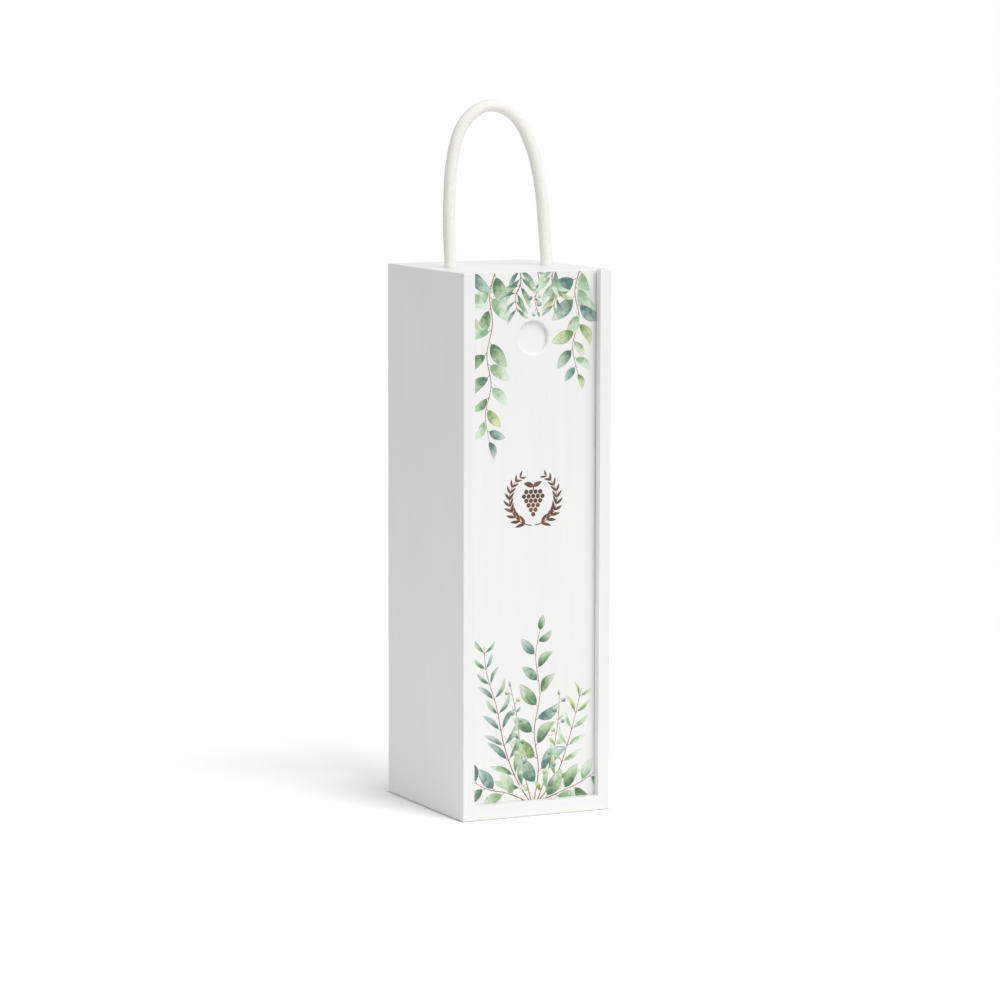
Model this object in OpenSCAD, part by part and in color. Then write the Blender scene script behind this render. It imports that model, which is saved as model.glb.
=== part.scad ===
// Upright wine box for one bottle, with a lid that slides up and out of its front
// and a rope carrying handle on top.
//
// Millimetres. The box stands on z = 0, centred on x and y, and its lid faces -y.
// Five glued and pinned boards make the carcass. The lid runs in a groove in each
// side board and drops into a third groove in the bottom board. The rope passes
// through two holes in the top board and is knotted under it.

/* [Box] */
// Width over the side boards
box_w = 105; // [100:1:140]
// Depth from the front edges to the back
box_d = 116; // [110:1:140]
// Height without the handle
box_h = 351; // [340:1:400]
// Radius of the sanded outer edges
edge_r = 0.7; // [0.3:0.1:1.2]

/* [Boards] */
// Thickness of the two side boards
side_t = 8; // [7:0.5:12]
// Thickness of the top board
top_t = 8; // [6:0.5:12]
// Thickness of the bottom board
bottom_t = 9.5; // [7:0.5:12]
// Thickness of the back board
back_t = 4; // [3:0.5:6]
// How far the back board is let into each side board
rebate_d = 4; // [3:0.5:5]

/* [Lid] */
// Thickness of the lid
lid_t = 5; // [4:0.5:6]
// Setback of the lid grooves behind the front edges
groove_setback = 5.4; // [4:0.2:8]
// Depth of the lid grooves in the side boards
groove_d = 4; // [3:0.5:5]
// Depth of the lid groove in the bottom board
sill_d = 3; // [2:0.5:4]
// Gap between the lid's face and the front wall of its groove, at the lid's foot
lid_front_gap = 0.4; // [0.3:0.1:1]
// Gap behind the lid, at its top
lid_back_gap = 0.3; // [0.2:0.1:0.6]
// How much further back the loose lid's top rests than its foot
lid_lean = 1.2; // [0:0.1:1.4]
// Gap at each side edge of the lid
lid_side_gap = 0.5; // [0.3:0.1:1]
// Gap under the lid
lid_end_gap = 0.3; // [0.2:0.1:0.5]
// Radius of the lid's sanded edges
lid_edge_r = 0.5; // [0.2:0.1:1]

/* [Finger recess] */
// Diameter of the recess in the lid's face
recess_dia = 23.5; // [18:0.5:30]
// Depth of the recess
recess_depth = 3.2; // [2:0.1:3.4]
// Radius of its sanded rim
recess_round = 1.2; // [0.5:0.1:1.9]
// From the lid's top edge down to the centre of the recess
recess_drop = 42.5; // [30:0.5:80]

/* [Rope handle] */
// Diameter of the rope
rope_dia = 8; // [6:0.5:9]
// Distance between the two rope holes
hole_spacing = 69; // [60:1:80]
// Distance of the rope holes behind the middle of the box
hole_offset = 0; // [-10:1:10]
// Clearance round the rope in its hole
hole_gap = 0.3; // [0.2:0.1:1]
// Gap between the top board and the rope's rounded swinging end
swing_gap = 0.3; // [0.2:0.1:0.6]
// Gap between a knot and the underside of the top board
knot_gap = 0.3; // [0.2:0.1:1]

/* [Brads] */
// Diameter of the headless brads
brad_dia = 1.2; // [1:0.1:1.6]
// Length of a brad
brad_length = 18; // [14:1:20]
// How deep a brad is sunk under the filled and painted surface
brad_sink = 1; // [0.5:0.1:1.5]
// From a board's end to the first brad along it
brad_inset = 18; // [14:1:24]
// Number of brads along each long edge of the back board
back_brads = 5; // [3:1:8]

/* [Hidden] */

$fn = 48;
cut = 1;                                        // how far a cutter runs past what it cuts

// carcass
inner_w = box_w - 2 * side_t;
groove_front = -box_d / 2 + groove_setback;
groove_w = lid_front_gap + lid_t + lid_lean + lid_back_gap;
groove_back = groove_front + groove_w;
groove_floor = bottom_t - sill_d;
back_front = box_d / 2 - back_t;                // front face of the back board
back_w = inner_w + 2 * rebate_d;

// lid
lid_w = inner_w + 2 * (groove_d - lid_side_gap);
lid_front = groove_front + lid_front_gap;
lid_bottom = groove_floor + lid_end_gap;
lid_h = box_h - lid_bottom;
lid_tilt = atan(lid_lean / lid_h);

// rope
rope_r = rope_dia / 2;
hole_x = hole_spacing / 2;
pivot_z = box_h + swing_gap + rope_r;           // centre of the rope's rounded ends
rope_sides = 12;
knot_sides = 8;

// The arch from the left hole to the right one: across, and up from the box's top.
// It stands slightly uneven, as rope does.
arch_route = [
    [-34.5, 5], [-35, 14], [-35.5, 25], [-35.5, 37], [-35, 49], [-34.5, 60],
    [-33, 70], [-31, 79], [-28, 87.5], [-23.5, 94.5], [-18, 99.5], [-11, 103],
    [-3, 103.5], [5, 101], [12, 96], [17.5, 89], [22, 80], [25.5, 71],
    [28, 61], [30, 51], [31.5, 40], [32.5, 28], [33.5, 16], [34.5, 5]
];

// Half of an overhand knot, from its middle to its lower end. The upper half is the
// same, turned half round about the y axis.
knot_half = [
    [0, -10, 0], [-3, -9.5, 4.5], [-5, -7.5, 9], [-5, -3, 12], [-2.5, 2, 13],
    [0.5, 6, 11], [3.5, 7.5, 6.5], [4.5, 6.5, 1], [3.5, 2.5, -3], [0.5, -0.5, -5],
    [-2.5, -2.5, -7.5], [-4, -4.5, -11.5], [-4.5, -6.5, -14.5], [-4.5, -7, -17], [-4.5, -7, -25]
];
knot_rope = 8;                                  // the rope that the points suit
knot_steps = 2;                                 // rings for each point of the knot
knot_scale = rope_dia / knot_rope;
knot_low = [for (p = knot_half) knot_scale * p];
knot_high = [for (p = knot_low) [-p.x, p.y, -p.z]];
knot_last = len(knot_half) - 1;
knot_body = smooth(concat([for (i = [knot_last - 2:-1:1]) knot_high[i]], knot_low), knot_steps);
knot_reach = max([for (p = smooth(knot_low, knot_steps)) p.z]) + rope_r;
knot_z = box_h - top_t - knot_gap - knot_reach; // height of the middle of a knot
knot_route = concat(
    [[knot_high[knot_last].x, knot_high[knot_last].y, box_h - knot_z], knot_high[knot_last - 1]],
    knot_body);

paint = [0.94, 0.94, 0.93];
cotton = [0.93, 0.92, 0.89];
steel = [0.62, 0.62, 0.64];

// ---------------------------------------------------------------- eased blocks

// Rectangle from the origin with round corners.
module round_rect(w, h, r) {
    translate([r, 0]) square([w - 2 * r, h]);
    translate([0, r]) square([w, h - 2 * r]);
    for (x = [r, w - r], y = [r, h - r]) {
        translate([x, y]) circle(r);
    }
}

// Block from the origin with every edge rounded.
module eased_block(size, r) {
    intersection() {
        linear_extrude(size.z) round_rect(size.x, size.y, r);
        translate([0, size.y, 0]) rotate([90, 0, 0]) linear_extrude(size.y) round_rect(size.x, size.z, r);
        rotate([90, 0, 90]) linear_extrude(size.x) round_rect(size.y, size.z, r);
    }
}

// The outside of the glued carcass, which is sanded as one block.
module carcass() {
    translate([-box_w / 2, -box_d / 2, 0]) eased_block([box_w, box_d, box_h], edge_r);
}

// Box from one corner to the other.
module block(low, high) {
    translate(low) cube(high - low);
}

// ---------------------------------------------------------------------- boards

// The right side board; the left one is its mirror image.
module side_board() {
    x0 = inner_w / 2;
    difference() {
        intersection() {
            carcass();
            block([x0, -box_d / 2, 0], [box_w / 2, box_d / 2, box_h]);
        }
        block([x0 - cut, groove_front, groove_floor], [x0 + groove_d, groove_back, box_h + cut]);
        block([x0 - cut, back_front, -cut], [x0 + rebate_d, box_d / 2 + cut, box_h + cut]);
        brads_top();
        brads_bottom();
        brads_back();
    }
}

module side_left() {
    color(paint) mirror([1, 0, 0]) side_board();
}

module side_right() {
    color(paint) side_board();
}

module back_board() {
    color(paint) difference() {
        intersection() {
            carcass();
            block([-back_w / 2, back_front, 0], [back_w / 2, box_d / 2, box_h]);
        }
        brads_back();
    }
}

// The top board stops short of the front, so that the lid passes in front of it.
module top_board() {
    color(paint) difference() {
        intersection() {
            carcass();
            block([-inner_w / 2, groove_back, box_h - top_t], [inner_w / 2, back_front, box_h]);
        }
        for (side = [-1, 1]) {
            translate([side * hole_x, hole_offset, box_h - top_t - cut])
                cylinder(h = top_t + 2 * cut, r = rope_r + hole_gap);
        }
        brads_top();
        brads_back();
    }
}

module bottom_board() {
    color(paint) difference() {
        intersection() {
            carcass();
            block([-inner_w / 2, -box_d / 2, 0], [inner_w / 2, back_front, bottom_t]);
        }
        block([-box_w / 2, groove_front, groove_floor], [box_w / 2, groove_back, bottom_t + cut]);
        brads_bottom();
        brads_back();
    }
}

// ------------------------------------------------------------------------- lid

// The cutter for the finger recess: a flat floor and a round wall with a sanded rim.
module recess_cutter() {
    r = recess_dia / 2;
    floor_r = r - recess_round;
    rotate_extrude() {
        translate([0, -cut]) square([floor_r, cut + recess_depth]);
        difference() {
            translate([floor_r, -cut]) square([recess_round, cut + recess_round]);
            translate([r, recess_round]) circle(recess_round);
        }
    }
}

// The lid stands on its foot and leans back in its grooves.
module sliding_lid() {
    color(paint) translate([0, lid_front, lid_bottom]) rotate([-lid_tilt, 0, 0]) difference() {
        translate([-lid_w / 2, 0, 0]) eased_block([lid_w, lid_t, lid_h], lid_edge_r);
        translate([0, 0, lid_h - recess_drop]) rotate([-90, 0, 0]) recess_cutter();
    }
}

// ------------------------------------------------------------------------ rope

function unit(v) = v / norm(v);

// Point at share t between b and c, on the smooth curve that also heeds a and d.
function between(a, b, c, d, t) =
    (2 * b + t * (c - a) + t * t * (2 * a - 5 * b + 4 * c - d) + t * t * t * (3 * b - a - 3 * c + d)) / 2;

// A route with more points, on a smooth curve through the given ones.
function smooth(p, steps) =
    let (last = len(p) - 1)
    concat(
        [for (i = [0:last - 1], s = [0:steps - 1])
            between(p[max(i - 1, 0)], p[i], p[i + 1], p[min(i + 2, last)], s / steps)],
        [p[last]]);

// Least distance between two stretches of a route that lie more than skip points apart.
function least_distance(p, skip) =
    min([for (i = [0:len(p) - 1 - skip]) min([for (j = [i + skip:len(p) - 1]) norm(p[i] - p[j])])]);

// Direction of a route at one of its points.
function heading(p, i) =
    i == 0 ? unit(p[1] - p[0])
    : i == len(p) - 1 ? unit(p[i] - p[i - 1])
    : unit(p[i + 1] - p[i - 1]);

// Normals along a route, carried from point to point without twist.
function carried(p, n, i = 0, got = []) =
    i == len(p) ? got
    : let (t = heading(p, i), m = unit(n - (n * t) * t)) carried(p, m, i + 1, concat(got, [m]));

// One ring of a tube round a route's point.
function ring(c, t, n, r, sides) =
    let (b = cross(t, n)) [for (k = [0:sides - 1]) c + r * (cos(360 * k / sides) * n + sin(360 * k / sides) * b)];

// Tube along a route, with a radius for each point, closed by flat ends.
module tube(route, radii, first_normal, sides) {
    count = len(route);
    normals = carried(route, first_normal);
    rings = [for (i = [0:count - 1]) each ring(route[i], heading(route, i), normals[i], radii[i], sides)];
    walls = [for (i = [0:count - 2], k = [0:sides - 1])
        let (a = i * sides + k, b = i * sides + (k + 1) % sides)
        each [[a, b, b + sides], [a, b + sides, a + sides]]];
    start = [for (k = [sides - 1:-1:0]) k];
    end = [for (k = [0:sides - 1]) (count - 1) * sides + k];
    polyhedron(points = rings, faces = concat([start], walls, [end]));
}

// The arch swings on its two rounded ends, which sit at the hole mouths.
module rope_handle() {
    dome = [15, 40, 65];                        // angles of the rings that round an end
    arch = [for (p = arch_route) [p.x, hole_offset, box_h + p.y]];
    low = [-hole_x, hole_offset, pivot_z];
    high = [hole_x, hole_offset, pivot_z];
    down = [0, 0, -rope_r];
    route = concat(
        [for (i = [2:-1:0]) low + sin(dome[i]) * down],
        arch,
        [for (i = [0:2]) high + sin(dome[i]) * down]);
    radii = concat(
        [for (i = [2:-1:0]) rope_r * cos(dome[i])],
        [for (p = arch) rope_r],
        [for (i = [0:2]) rope_r * cos(dome[i])]);
    color(cotton) tube(route, radii, [0, 1, 0], rope_sides);
}

// A knotted rope end under the top board, with its neck up through the right hole.
module rope_knot() {
    high = knot_high[knot_last];
    place = [hole_x - high.x, hole_offset - high.y, knot_z];
    route = [for (p = knot_route) place + p];
    tube(route, [for (p = route) rope_r], [1, 0, 0], knot_sides);
}

// Both knots are tied alike, so the left one is the right one turned half round.
module rope_knot_left() {
    color(cotton) translate([0, 2 * hole_offset, 0]) rotate([0, 0, 180]) rope_knot();
}

module rope_knot_right() {
    color(cotton) rope_knot();
}

echo(least_gap_in_a_knot = least_distance(knot_route, 4 * knot_steps) - rope_dia);

// ----------------------------------------------------------------------- brads

// A brad driven towards +x from a sunk end at the origin.
module brad() {
    rotate([0, 90, 0]) cylinder(h = brad_length, d = brad_dia);
}

// Brads through both side boards into a board's end grain at height z.
module side_brads(z, y_low, y_high) {
    for (side = [0, 1], y = [y_low + brad_inset, y_high - brad_inset]) {
        mirror([side, 0, 0]) translate([-box_w / 2 + brad_sink, y, z]) brad();
    }
}

module brads_top() {
    color(steel) side_brads(box_h - top_t / 2, groove_back, back_front);
}

module brads_bottom() {
    color(steel) side_brads(bottom_t / 2, groove_back, back_front);
}

// Brads through the back board into the side boards' rebates, the top and the bottom.
module brads_back() {
    run = box_h - 2 * brad_inset;
    edge_x = (inner_w + rebate_d) / 2;
    spots = concat(
        [for (side = [-1, 1], i = [0:back_brads - 1]) [side * edge_x, brad_inset + run * i / (back_brads - 1)]],
        [for (side = [-1, 1], z = [bottom_t / 2, box_h - top_t / 2]) [side * inner_w / 4, z]]);
    color(steel) for (p = spots) {
        translate([p.x, box_d / 2 - brad_sink, p.y]) rotate([0, 0, -90]) brad();
    }
}

side_left();
side_right();
back_board();
top_board();
bottom_board();
sliding_lid();
rope_handle();
rope_knot_left();
rope_knot_right();
brads_top();
brads_bottom();
brads_back();
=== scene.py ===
"""Looks of an upright wooden wine box.

The box is sprayed with white satin enamel, its sliding lid is printed with leaves, and its
handle is a braided cotton rope that is knotted under the top board.
"""

import logging
import math
import random
from dataclasses import dataclass, field
from enum import Enum
from functools import partial

import bpy
import numpy as np
from mathutils import Matrix, Vector


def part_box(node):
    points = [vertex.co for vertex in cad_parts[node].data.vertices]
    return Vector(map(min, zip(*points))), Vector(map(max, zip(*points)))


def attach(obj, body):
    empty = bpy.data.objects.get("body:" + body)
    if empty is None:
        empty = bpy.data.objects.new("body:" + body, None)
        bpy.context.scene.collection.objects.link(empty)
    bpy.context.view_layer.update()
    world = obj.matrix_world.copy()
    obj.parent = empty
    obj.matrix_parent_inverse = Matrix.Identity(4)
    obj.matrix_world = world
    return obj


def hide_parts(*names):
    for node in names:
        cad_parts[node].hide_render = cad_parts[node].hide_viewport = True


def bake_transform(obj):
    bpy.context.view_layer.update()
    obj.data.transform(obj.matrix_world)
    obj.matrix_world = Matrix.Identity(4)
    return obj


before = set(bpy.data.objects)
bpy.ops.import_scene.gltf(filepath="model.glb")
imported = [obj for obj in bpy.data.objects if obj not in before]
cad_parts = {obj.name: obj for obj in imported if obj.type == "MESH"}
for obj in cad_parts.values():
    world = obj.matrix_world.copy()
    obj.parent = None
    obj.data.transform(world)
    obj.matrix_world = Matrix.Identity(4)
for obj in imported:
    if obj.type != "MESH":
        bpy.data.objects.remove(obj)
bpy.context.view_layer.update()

LOG = logging.getLogger("wine_box")
MM = 0.001                      # metres in a millimetre

Colour = tuple[float, float, float, float]
Point2 = tuple[float, float]
Point3 = tuple[float, float, float]
Things = list[bpy.types.Object]

WHITE: Colour = (1.0, 1.0, 1.0, 1.0)
RESIN_IOR = 1.5                 # of enamel and of printing ink
SHARE, LOW, HIGH = 0, 6, 7      # sockets of a Mix node that mixes colours
COLOURS = {"data_type": "RGBA"}                 # and its setting
SMOOTH = {"interpolation_type": "SMOOTHSTEP"}   # a Map Range node's setting
CENTRED = (2.0, -1.0)           # times and plus, which take 0 to 1 to a span from -1 to 1


# ------------------------------------------------------------------ small helpers


def linear(hex_colour: str) -> Colour:
    """Turns an sRGB colour into the linear one that Blender's sockets take.

    Args:
        hex_colour: the colour as "#RRGGBB".

    Returns:
        The linear red, green, blue and an alpha of 1.
    """
    parts = [int(hex_colour[i : i + 2], 16) / 255 for i in (1, 3, 5)]
    curve = [p / 12.92 if p <= 0.04045 else ((p + 0.055) / 1.055) ** 2.4 for p in parts]
    return (curve[0], curve[1], curve[2], 1.0)


def grey(level: float) -> Colour:
    """Makes a grey of this linear level."""
    return (level, level, level, 1.0)


def scale(size_mm: float) -> float:
    """Gives the Scale of a pattern whose features are this large."""
    return 1 / (size_mm * MM)


def add(tree: bpy.types.NodeTree, kind: str, inputs: dict | tuple = (), **settings: object) -> bpy.types.Node:
    """Adds one node to a tree, with its settings, values and links.

    Args:
        tree: the node tree.
        kind: the node's type, without the leading "ShaderNode".
        inputs: values by socket name or index, or a row of values for the first sockets. A value
            may also be a socket, or a node, whose first output in use is then linked.
        settings: the node's own properties.

    Returns:
        The new node.
    """
    made = tree.nodes.new("ShaderNode" + kind)
    for name, value in settings.items():
        setattr(made, name, value)
    for place, value in inputs.items() if isinstance(inputs, dict) else enumerate(inputs):
        if isinstance(value, bpy.types.Node):
            value = next(output for output in value.outputs if output.enabled)
        if isinstance(value, bpy.types.NodeSocket):
            tree.links.new(value, made.inputs[place])
        else:
            made.inputs[place].default_value = value
    return made


def blank_material(name: str) -> tuple[bpy.types.Material, bpy.types.NodeTree]:
    """Makes a material with an empty node tree.

    Args:
        name: the material's name.

    Returns:
        The material and its tree.
    """
    material = bpy.data.materials.new(name)
    material.use_nodes = True
    material.node_tree.nodes.clear()
    return material, material.node_tree


def deselect_all() -> None:
    """Leaves no object selected, because operators act on all that is."""
    for thing in bpy.context.selected_objects:
        thing.select_set(False)


def pick(*things: bpy.types.Object) -> None:
    """Selects these objects alone.

    Args:
        things: the objects, of which the first one becomes the active one.
    """
    deselect_all()
    for thing in things:
        thing.select_set(True)
    bpy.context.view_layer.objects.active = things[0]


def smooth_route(points: np.ndarray, steps: int) -> np.ndarray:
    """Runs a smooth curve through a route's points.

    Args:
        points: the points, one per row.
        steps: how many points stand for each given one.

    Returns:
        The points of the curve, which include the given ones.
    """
    last = len(points) - 1
    found = []
    for i in range(last):
        a, b = points[max(i - 1, 0)], points[i]
        c, d = points[i + 1], points[min(i + 2, last)]
        for t in np.arange(steps) / steps:
            found.append((2 * b + t * (c - a) + t**2 * (2 * a - 5 * b + 4 * c - d)
                          + t**3 * (3 * b - a - 3 * c + d)) / 2)
    return np.array([*found, points[last]])


def distances(route: np.ndarray) -> np.ndarray:
    """Measures how far along a route each of its points lies."""
    return np.concatenate([[0.0], np.cumsum(np.linalg.norm(np.diff(route, axis=0), axis=1))])


def evenly(points: np.ndarray, step: float) -> np.ndarray:
    """Spaces a route's points evenly.

    Args:
        points: the route's points, close together.
        step: the wanted distance between points.

    Returns:
        The new points.
    """
    along = distances(points)
    stations = np.linspace(0.0, along[-1], max(2, round(along[-1] / step) + 1))
    return np.stack([np.interp(stations, along, column) for column in points.T], axis=1)


def heading_step(angle: float) -> np.ndarray:
    """Gives the unit step across and up for a heading, in radians clockwise from upright."""
    return np.array([math.sin(angle), math.cos(angle)])


# ----------------------------------------------------------------------- finishes


class Grain(Enum):
    """The direction that a board's wood grain runs in, as the axis of the frame."""

    ACROSS = 0
    UP = 2


@dataclass(frozen=True)
class SatinEnamel:
    """White satin enamel, sprayed on sanded pine: pale, softly glossy, with the grain just telegraphing."""

    name: str
    grain: Grain
    crest: str = "#F4F4F2"          # full coats
    hollow: str = "#F2F2EF"         # thinner over the wood's soft early wood
    coat_span: Point2 = (0.35, 0.62)    # film thickness at which hollow and crest show pure
    roughness: float = 0.4          # satin, about 25 gloss units
    gloss_drift: float = 0.04       # how much rougher thin film is, and thick film smoother
    gloss_span: Point2 = (0.3, 0.7)
    ring_mm: float = 2.2            # year rings on a sawn face
    ring_length_mm: float = 120.0   # how long a streak of grain stays the same
    ring_share: float = 0.6         # of the film's unevenness; the rest is cloud
    cloud_mm: float = 60.0          # slow drift in the film's thickness
    spray_mm: float = 0.7           # orange peel of a spray gun
    grain_height_mm: float = 0.004
    spray_height_mm: float = 0.004

    def make(self) -> bpy.types.Material:
        """Builds the material.

        Returns:
            The material.
        """
        material, tree = blank_material(self.name)
        node = partial(add, tree)
        place = node("TexCoord").outputs["Object"]
        stretch = [scale(self.ring_mm)] * 3
        stretch[self.grain.value] = scale(self.ring_length_mm)
        streaks = node("Mapping", {"Vector": place, "Scale": stretch})
        rings = node("TexNoise", {"Vector": streaks, "Scale": 1.0, "Detail": 3.0})
        cloud = node("TexNoise", {"Vector": place, "Scale": scale(self.cloud_mm), "Detail": 2.0})
        spray = node("TexNoise", {"Vector": place, "Scale": scale(self.spray_mm), "Detail": 1.0})
        film = node("Math", (cloud, 1 - self.ring_share), operation="MULTIPLY")
        film = node("Math", (rings, self.ring_share, film), operation="MULTIPLY_ADD")
        coat = node("MapRange", (film, *self.coat_span), **SMOOTH)
        colour = node("Mix", {SHARE: coat, LOW: linear(self.hollow), HIGH: linear(self.crest)}, **COLOURS)
        rough, smooth = self.roughness + self.gloss_drift, self.roughness - self.gloss_drift
        gloss = node("MapRange", (film, *self.gloss_span, rough, smooth), **SMOOTH)
        grain = node("Bump", {"Height": rings, "Distance": self.grain_height_mm * MM})
        relief = node("Bump", {"Height": spray, "Distance": self.spray_height_mm * MM, "Normal": grain})
        values = {"Base Color": colour, "Roughness": gloss, "Normal": relief, "IOR": RESIN_IOR}
        node("OutputMaterial", {"Surface": node("BsdfPrincipled", values)})
        return material


@dataclass(frozen=True)
class LeafInk:
    """Printed watercolour on enamel: washes that pool dark at a leaf's base and fade to the paper at its tip.

    Across a leaf, 0 is its midrib and 1 its rim. Along it, 0 is its base and 1 its tip.
    """

    name: str = "watercolour_print_ink"
    paper: str = "#F2F2F0"
    washes: tuple[str, ...] = ("#B4CCA3", "#A3BDB2", "#CFDA9E", "#DCEBD8")
    pools: tuple[str, ...] = ("#3F6B4C", "#47706A", "#6C8A49", "#86AD84")
    granule_mm: float = 0.5         # pigment that settles in the paper's tooth
    granule_span: Point2 = (0.5, 0.8)
    granule_share: float = 0.22     # how much paper shows through there
    bloom_mm: float = 5.0           # the wet edges inside a wash
    bloom_reach: float = 1.3        # how far along the leaf they move the wash's parts, from end to end
    lopsided: float = 0.3           # how far the pool moves up the leaf at one rim, and down at the other
    pool_span: Point2 = (0.02, 0.72)    # where along the leaf the pool starts to thin, and ends
    pool_depth: float = 0.95
    rib_width: float = 0.13
    rib_depth: Point2 = (0.8, 0.15)     # of the midrib's line, at the base and at the tip
    rib_span: Point2 = (0.1, 0.95)
    side_veins: float = 7.0         # pairs along a leaf
    vein_slant: float = 0.28        # how far along a side vein runs from the midrib to the rim
    vein_width: float = 0.16
    vein_depth: float = 0.4
    vein_span: Point2 = (0.25, 0.95)    # where across the leaf the veins start to fade, and end
    rim_span: Point2 = (0.82, 1.0)  # pigment that dries dark at the rim
    rim_depth: float = 0.4
    fade_span: Point2 = (0.45, 1.25)    # where along the leaf the wash thins to paper
    fade_rim: Point2 = (0.9, 0.6)   # it thins inside the rim only
    fade_share: float = 0.7
    roughness: float = 0.42

    def make(self) -> bpy.types.Material:
        """Builds the material, which reads where it is on a leaf from the "leaf" and "tone" UV maps.

        Returns:
            The material.
        """
        material, tree = blank_material(self.name)
        node = partial(add, tree)
        leaf = node("SeparateXYZ", (node("UVMap", uv_map="leaf"),)).outputs
        tone = node("SeparateXYZ", (node("UVMap", uv_map="tone"),)).outputs
        place = node("TexCoord").outputs["Object"]
        across = node("Math", (leaf["X"], *CENTRED), operation="MULTIPLY_ADD")
        out = node("Math", (across,), operation="ABSOLUTE")
        along = leaf["Y"]
        # each leaf's tone picks its wash and its pool colour, and mixes neighbours in the row
        tints = []
        for colours in (self.washes, self.pools):
            row = node("ValToRGB", {"Fac": tone["X"]})
            stops = row.color_ramp.elements
            for _ in colours[2:]:
                stops.new(1.0)
            for i, colour in enumerate(colours):
                stops[i].position, stops[i].color = i / (len(colours) - 1), linear(colour)
            tints.append(row)
        bloom_at = {"Vector": place, "Scale": scale(self.bloom_mm), "Detail": 4.0, "Distortion": 0.8}
        bloom = node("TexNoise", bloom_at)
        granule = node("TexNoise", {"Vector": place, "Scale": scale(self.granule_mm), "Detail": 2.0})
        # the pool of pigment at the base runs further up one half of the blade
        half = node("Math", (tone["Y"], *CENTRED), operation="MULTIPLY_ADD")
        lean = node("Math", (across, half), operation="MULTIPLY")
        reach = node("Math", (lean, self.lopsided, along), operation="MULTIPLY_ADD")
        wander = node("Math", (bloom, self.bloom_reach, -self.bloom_reach / 2), operation="MULTIPLY_ADD")
        wander = node("Math", (reach, wander), operation="ADD")
        pool = node("MapRange", (wander, *self.pool_span, self.pool_depth, 0.0), **SMOOTH)
        # the midrib and the side veins hold a line of pigment, and so does the rim
        rib = node("MapRange", (out, 0.0, self.rib_width, 1.0, 0.0), **SMOOTH)
        strength = node("MapRange", (along, *self.rib_span, *self.rib_depth), **SMOOTH)
        rib = node("Math", (rib, strength), operation="MULTIPLY")
        slant = node("Math", (out, -self.vein_slant, along), operation="MULTIPLY_ADD")
        slant = node("Math", (slant, self.side_veins), operation="MULTIPLY")
        wave = node("Math", (node("Math", (slant,), operation="FRACT"), 0.5), operation="SUBTRACT")
        wave = node("Math", (wave,), operation="ABSOLUTE")
        vein = node("MapRange", (wave, 0.0, self.vein_width, 1.0, 0.0), **SMOOTH)
        strength = node("MapRange", (out, *self.vein_span, self.vein_depth, 0.0), **SMOOTH)
        vein = node("Math", (vein, strength), operation="MULTIPLY")
        rim = node("MapRange", (out, *self.rim_span, 0.0, self.rim_depth), **SMOOTH)
        dark = pool
        for line in (rib, vein, rim):
            dark = node("Math", (dark, line), operation="MAXIMUM")
        body = node("Mix", {SHARE: dark, LOW: tints[0], HIGH: tints[1]}, **COLOURS)
        # the wash thins to paper towards the tip, and where the pigment granulates
        fade = node("MapRange", (wander, *self.fade_span), **SMOOTH)
        inside = node("MapRange", (out, *self.fade_rim), **SMOOTH)
        fade = node("Math", (fade, inside), operation="MULTIPLY")
        grains = node("MapRange", (granule, *self.granule_span, 0.0, self.granule_share), **SMOOTH)
        worn = node("Math", (fade, self.fade_share, grains), operation="MULTIPLY_ADD")
        colour = node("Mix", {SHARE: worn, LOW: body, HIGH: linear(self.paper)}, **COLOURS)
        values = {"Base Color": colour, "Roughness": self.roughness, "IOR": RESIN_IOR}
        node("OutputMaterial", {"Surface": node("BsdfPrincipled", values)})
        return material


@dataclass(frozen=True)
class LineInk:
    """Printed line ink on enamel: one colour that thins and thickens along a stroke."""

    name: str
    full: str
    thin: str
    stroke_mm: float = 7.0          # how long the ink runs before it thins or thickens
    stroke_span: Point2 = (0.38, 0.66)
    roughness: float = 0.42

    def make(self) -> bpy.types.Material:
        """Builds the material.

        Returns:
            The material.
        """
        material, tree = blank_material(self.name)
        node = partial(add, tree)
        place = node("TexCoord").outputs["Object"]
        stroke = node("TexNoise", {"Vector": place, "Scale": scale(self.stroke_mm), "Detail": 3.0})
        share = node("MapRange", (stroke, *self.stroke_span), **SMOOTH)
        colour = node("Mix", {SHARE: share, LOW: linear(self.full), HIGH: linear(self.thin)}, **COLOURS)
        values = {"Base Color": colour, "Roughness": self.roughness, "IOR": RESIN_IOR}
        node("OutputMaterial", {"Surface": node("BsdfPrincipled", values)})
        return material


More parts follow.
